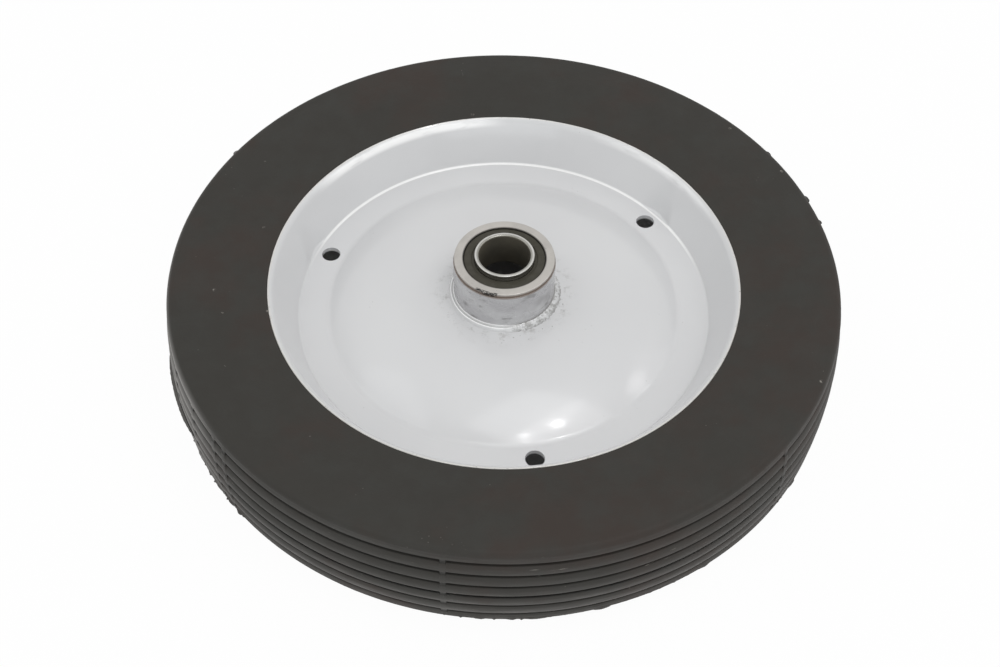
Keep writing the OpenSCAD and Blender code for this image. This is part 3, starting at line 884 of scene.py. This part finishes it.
def makeFlash(name, tire, size, ring):
    # a sliver whose tip stands out by low + tall * (the wandering line, squared, above zero), or by its tears,
    # each of which is a hump 1 - ((turn - middle) / half width)^4
    turn = evenTurns(size["columns"])
    base = crownAt(ring["height"], tire) - size["sunk"] - tire["wobble"]
    patches = smooth(-0.1, 0.5, wander(turn, 22, 3, 16))
    spikes = np.clip(wander(turn, 21, 40, 420), 0, 1) ** 2 * 1.6
    out = ring["low"] + ring["tall"] * np.clip(spikes * patches, 0, 1)
    ragged = 0.12 * wander(turn, 23, 60, 420)
    for middle, half, tall in ring["tears"]:
        hump = tall * (1 - (np.degrees(awayFrom(turn, [middle])) / half) ** 4) + ragged
        out = np.maximum(out, hump)
    tip = base + size["sunk"] + out
    tip = np.clip(tip, base, 126.9 / np.maximum(np.abs(np.cos(turn)), np.abs(np.sin(turn))))
    middle = ring["height"]
    radius = np.stack([np.full_like(turn, base), tip, np.full_like(turn, base)])
    height = np.array([[middle - size["thick"] / 2], [middle - 0.1], [middle + size["thick"] / 2]])
    points = around(radius, height, turn[None])
    faces = gridFaces(3, len(turn)).reshape(-1, 4).tolist()
    return makePiece(name, points, faces, "wheel", tireRubber, (), 30)


makeTire(tireSizes)
for word, ring in flashSizes["rings"].items():
    makeFlash("tire_flash_" + word, tireSizes, flashSizes, ring)
print("moulded the tire")


# Hub: tube, rings and seals, each a closed loop of (radius, height)
hubSizes = dict(
    tubeOuter=19.05,
    tubeInner=17.4625,
    tubeEnd=26.5,
    ringFoot=15.5,
    flangeRadius=18.75,
    flangeTop=28.1,
    ringInner=15.43,
    ballCircle=13.3,
    ballHeight=21.8,
    raceRadius=2.818,
    innerOut=11.15,
    bore=9.525,
    innerTop=29.75,
    boreMouth=0.9,
    sealFoot=26.4,
    sealTop=27.6,
    sealInner=11.21,
    sealStep=12.31,         # inside it the lip lies lower
    sealLipTop=27.25,
    sealRim=15.88,          # the rim sits in the ring's groove
    sealGroove=15.10,
)


def tubeLoop(size):
    a, b, end = size["tubeInner"], size["tubeOuter"], size["tubeEnd"]
    return rounded([[b, -end], [b, end], [a, end], [a, -end]], [0.25, 0.25, 0.15, 0.15])


def outerRingLoop(size):
    f, a, b = size["flangeRadius"], size["ringInner"], size["tubeInner"]
    top, foot, seat = size["flangeTop"], size["ringFoot"], size["tubeEnd"] + 0.02
    race = arc([size["ballCircle"], size["ballHeight"]], size["raceRadius"], 40.8, -40.8, 15)
    corners = [[a, foot], [b, foot], [b, seat], [f, seat], [f, top], [a, top]]
    return np.concatenate([rounded(corners, [0.15, 0.3, 0, 0.15, 0.3, 0.2]), race])


def innerRingLoop(size):
    b, r, top, foot = size["innerOut"], size["bore"], size["innerTop"], size["ringFoot"]
    race = arc([size["ballCircle"], size["ballHeight"]], size["raceRadius"], 220.3, 139.7, 15)
    corners = [[b, top], [r, top], [r, foot], [b, foot]]
    return np.concatenate([rounded(corners, [0.2, size["boreMouth"], 0.3, 0.3], 6), race])


def sealLoop(size):
    # flat, with a narrow groove inside its rim and a lower lip round the inner ring
    a, c, g, r = size["sealInner"], size["sealStep"], size["sealGroove"], size["ringInner"]
    foot, top, lip, rim = size["sealFoot"], size["sealTop"], size["sealLipTop"], size["sealRim"]
    corners = [
        [a, foot], [r, foot], [r, foot + 0.25], [rim, foot + 0.25], [rim, foot + 1.05],
        [r - 0.06, foot + 1.05], [r - 0.06, top - 0.35], [g, top - 0.35], [g, top], [c, top], [c, lip], [a, lip],
    ]
    return rounded(corners, [0.1, 0, 0, 0.1, 0.1, 0, 0, 0.1, 0.2, 0.25, 0.1, 0.15], 3)


def makeHubSide(side, sign, size):
    loops = dict(
        bearing_outer_ring=(outerRingLoop(size), "wheel", "bearing_steel", flangeSteel, "outer_ring"),
        bearing_inner_ring=(innerRingLoop(size), side + "_inner", "ground_steel", innerSteel, "inner_ring"),
        seal_washer=(sealLoop(size), "wheel", "seal_rubber", sealRubber, "outer_seal"),
    )
    for word, (loop, body, slot, finish, node) in loops.items():
        profile = loop if sign > 0 else flipped(loop)
        lathe(side + "_" + word, profile, 256, body, finish, [side + "_" + node])


# Welds: a bead round the tube on each disc, with ripples, and spatter beside it
weldSizes = dict(
    root=19.03,
    tall=1.85,
    toe=1.9,                # how far it reaches out on its neat side
    wide=0.7,               # what it gains on its rough side
    roughTurn=-28.0,
    roughSpread=62.0,
    valley=0.30,            # the neat side has a valley between two ridges
    valleyAt=0.36,
    valleyWidth=0.13,
    ripples=52,
    ripple=0.12,
    uneven=0.30,
    columns=540,
    rows=17,
    drops=14,
    dropTurns=(-165, -15),
    dropReach=(22.3, 26.5),
    dropRadius=(0.15, 0.36),
)


def beadGrid(size, seat):
    # s runs from tube to disc: r = root + reach s, z = tall (1 - s^2.2) (1 - valley exp(-((s - at) / width)^2))
    turn = evenTurns(size["columns"])
    s = np.linspace(0, 1, size["rows"])[:, None]
    messy = np.clip(1 - (np.degrees(awayFrom(turn, [size["roughTurn"]])) / size["roughSpread"]) ** 2, 0, 1)[None]
    neat = 1 - smooth(0.0, 0.35, messy)
    lag = turn[None] * size["ripples"] + 2.2 * s + 1.5 * wander(turn, 31, 2, 9)[None]
    scallop = np.abs(np.sin(lag / 2)) * size["ripple"] * (1 - 0.8 * neat)
    lumps = wander(turn, 32, 9, 90)[None] * size["uneven"] * (1 - 0.8 * neat)
    reach = size["toe"] + size["wide"] * messy + lumps * s + scallop
    groove = size["valley"] * (0.25 + 0.75 * neat) * np.exp(-((s - size["valleyAt"]) / size["valleyWidth"]) ** 2)
    knobs = 0.35 * lumps * np.cos(9 * s + 5 * wander(turn, 33, 3, 40)[None]) * np.sin(np.pi * s)
    tall = (size["tall"] + 0.4 * lumps * (1 - s)) * (1 - s ** 2.2) * (1 - groove) + scallop * (1 - s) + knobs
    radius = size["root"] + reach * s
    height = seat + tall
    radius = np.concatenate([np.full((1, len(turn)), size["root"]), radius[::-1]])
    height = np.concatenate([np.full((1, len(turn)), seat - 0.05), height[::-1] - 0.02])
    return around(radius, height, turn[None]), gridFaces(len(radius), len(turn)).reshape(-1, 4).tolist()


def dropBlocks(size, seat, seed):
    # low round drops: x = c + q sin b cos a, z = seat + 0.6 q cos b, closed at both ends
    rng = np.random.default_rng(seed)
    blocks = []
    places = [(-89.6, 24.9, 0.34)] + [
        (rng.uniform(*size["dropTurns"]), rng.uniform(*size["dropReach"]), rng.uniform(*size["dropRadius"]))
        for k in range(size["drops"])
    ]
    b = np.radians(np.array([174, 140, 105, 75, 45, 20, 6]))[:, None]
    a = evenTurns(9)[None]
    for degrees, reach, q in places:
        turn = math.radians(degrees)
        x = reach * math.cos(turn) + q * np.sin(b) * np.cos(a)
        y = reach * math.sin(turn) + q * np.sin(b) * np.sin(a)
        z = seat + 0.6 * q * np.cos(b) + 0 * a
        faces = gridFaces(7, 9, False).reshape(-1, 4).tolist()
        blocks.append((np.stack([x, y, z], -1).reshape(-1, 3), faces + [list(range(9))[::-1], list(range(54, 63))]))
    return blocks


def makeWeld(side, sign, size, seed):
    seat = domeShape["seatZ"] + discSizes["sheet"] / 2
    points, faces = beadGrid(size, seat)
    points = points.reshape(-1, 3)
    for block, blockFaces in dropBlocks(size, seat, seed):
        faces += [[index + len(points) for index in face] for face in blockFaces]
        points = np.concatenate([points, block])
    if sign < 0:
        # a half turn about x brings the bead to the other side without turning it inside out
        points = points * [1, -1, -1]
    makePiece(side + "_weld_bead", points, faces, "wheel", paintedWeld, [side + "_weld"], 60)


for side, sign in (("front", 1), ("back", -1)):
    makeHubSide(side, sign, hubSizes)
    makeWeld(side, sign, weldSizes, 50 + sign)
lathe("hub_tube_shell", tubeLoop(hubSizes), 256, "wheel", tubePaint, ["hub_tube"])

nodeFinishes = dict(balls=innerSteel, half=cageSteel, rivets=cageSteel, seal=sealRubber)
for node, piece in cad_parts.items():
    for word, finish in nodeFinishes.items():
        if word in node:
            piece.data.materials.clear()
            piece.data.materials.append(finish)
print("turned the hub")


# Floor and light
studioSizes = dict(
    floorHeight=-29.8,
    floorColour=(0.86, 0.86, 0.86),
    floorGlow=0.97,          # how much of the floor that the camera sees is plain white
    shade=(0.104, 0.119),    # the glow fades under the wheel, from this radius in to that one, m
    worldLight=0.58,
    worldColour=(1.0, 1.0, 1.0),
)
lamps = dict(
    # turned round the axle from +X and raised above the floor, in degrees; sizes in metres, power in watts
    high=dict(turn=-36, rise=65, far=1.6, width=0.90, height=0.70, power=3.2, colour=(1.0, 0.985, 0.995)),
    overhead=dict(turn=-34, rise=82, far=1.7, width=0.90, height=0.70, power=3.0, colour=(0.98, 0.99, 1.0)),
    spotNear=dict(turn=-27, rise=71, far=1.6, width=0.07, height=0.09, power=0.80, colour=(1.0, 1.0, 1.0)),
    spotFar=dict(turn=-64, rise=73, far=1.6, width=0.06, height=0.05, power=0.30, colour=(1.0, 1.0, 1.0)),
    left=dict(turn=180, rise=57, far=1.7, width=0.90, height=0.60, power=1.5, colour=(0.97, 0.99, 1.0)),
    leftLow=dict(turn=180, rise=30, far=1.7, width=0.90, height=0.60, power=1.7, colour=(1.0, 1.0, 0.99)),
    right=dict(turn=12, rise=41, far=1.7, width=0.90, height=0.60, power=1.0, colour=(1.0, 0.99, 0.99)),
    glow=dict(turn=15, rise=48, far=1.7, width=0.24, height=0.20, power=0.45, colour=(1.0, 0.99, 0.99)),
    frontLow=dict(turn=-87, rise=22, far=1.7, width=1.60, height=0.70, power=3.8, colour=(0.93, 0.98, 1.0)),
)


def seenDirectly(finish):
    # 1 for what the camera sees straight on, in a mirror or through glass
    rays = finish.add("ShaderNodeLightPath").socket.node.outputs
    kinds = [Wire(finish, rays[word]) for word in ("Is Camera Ray", "Is Glossy Ray", "Is Transmission Ray")]
    return kinds[0].larger(kinds[1]).larger(kinds[2])


def makeFloor(size):
    reach, z = 6.0, size["floorHeight"] * mm
    mesh = bpy.data.meshes.new("floor")
    corners = [(-reach, -reach, z), (reach, -reach, z), (reach, reach, z), (-reach, reach, z)]
    mesh.from_pydata(corners, [], [(0, 1, 2, 3)])
    f = Finish("floorPaper")
    place, radius, turn, height = roundTheAxle(f)
    paper = f.add("ShaderNodeBsdfDiffuse", {}, {"Color": size["floorColour"]})
    glow = f.add("ShaderNodeEmission", {}, {"Color": (1, 1, 1), "Strength": 1.0})
    share = seenDirectly(f) * radius.ramp(*size["shade"]) * size["floorGlow"]
    mixed = f.add("ShaderNodeMixShader", {}, {0: share, 1: paper, 2: glow})
    f.tree.links.new(mixed.socket, f.output.inputs["Surface"])
    mesh.materials.append(f.material)
    floor = bpy.data.objects.new("floor", mesh)
    scene.collection.objects.link(floor)


def makeWorld(size):
    world = bpy.data.worlds.new("studio")
    world.use_nodes = True
    scene.world = world
    f = Finish("worldSketch")
    f.tree = world.node_tree
    f.tree.nodes.clear()
    output = f.tree.nodes.new("ShaderNodeOutputWorld")
    light = f.add("ShaderNodeBackground", {}, {"Color": size["worldColour"], "Strength": size["worldLight"]})
    white = f.add("ShaderNodeBackground", {}, {"Color": (1, 1, 1), "Strength": 1.0})
    mixed = f.add("ShaderNodeMixShader", {}, {0: seenDirectly(f), 1: light, 2: white})
    f.tree.links.new(mixed.socket, output.inputs["Surface"])
    bpy.data.materials.remove(f.material)


def makeLamp(name, turn, rise, far, width, height, power, colour):
    # a soft box that faces the wheel's middle
    data = bpy.data.lights.new(name, "AREA")
    data.shape = "RECTANGLE"
    data.size = width
    data.size_y = height
    data.energy = power
    data.color = colour
    lamp = bpy.data.objects.new(name, data)
    a, e = math.radians(turn), math.radians(rise)
    back = np.array([math.cos(e) * math.cos(a), math.cos(e) * math.sin(a), math.sin(e)])
    side = np.array([-math.sin(a), math.cos(a), 0])
    matrix = np.eye(4)
    matrix[:3, :3] = np.stack([side, np.cross(back, side), back], -1)
    matrix[:3, 3] = back * far
    lamp.matrix_world = Matrix(matrix.tolist())
    scene.collection.objects.link(lamp)


makeFloor(studioSizes)
makeWorld(studioSizes)
for name, lamp in lamps.items():
    makeLamp(name, **lamp)
print("lit the scene")
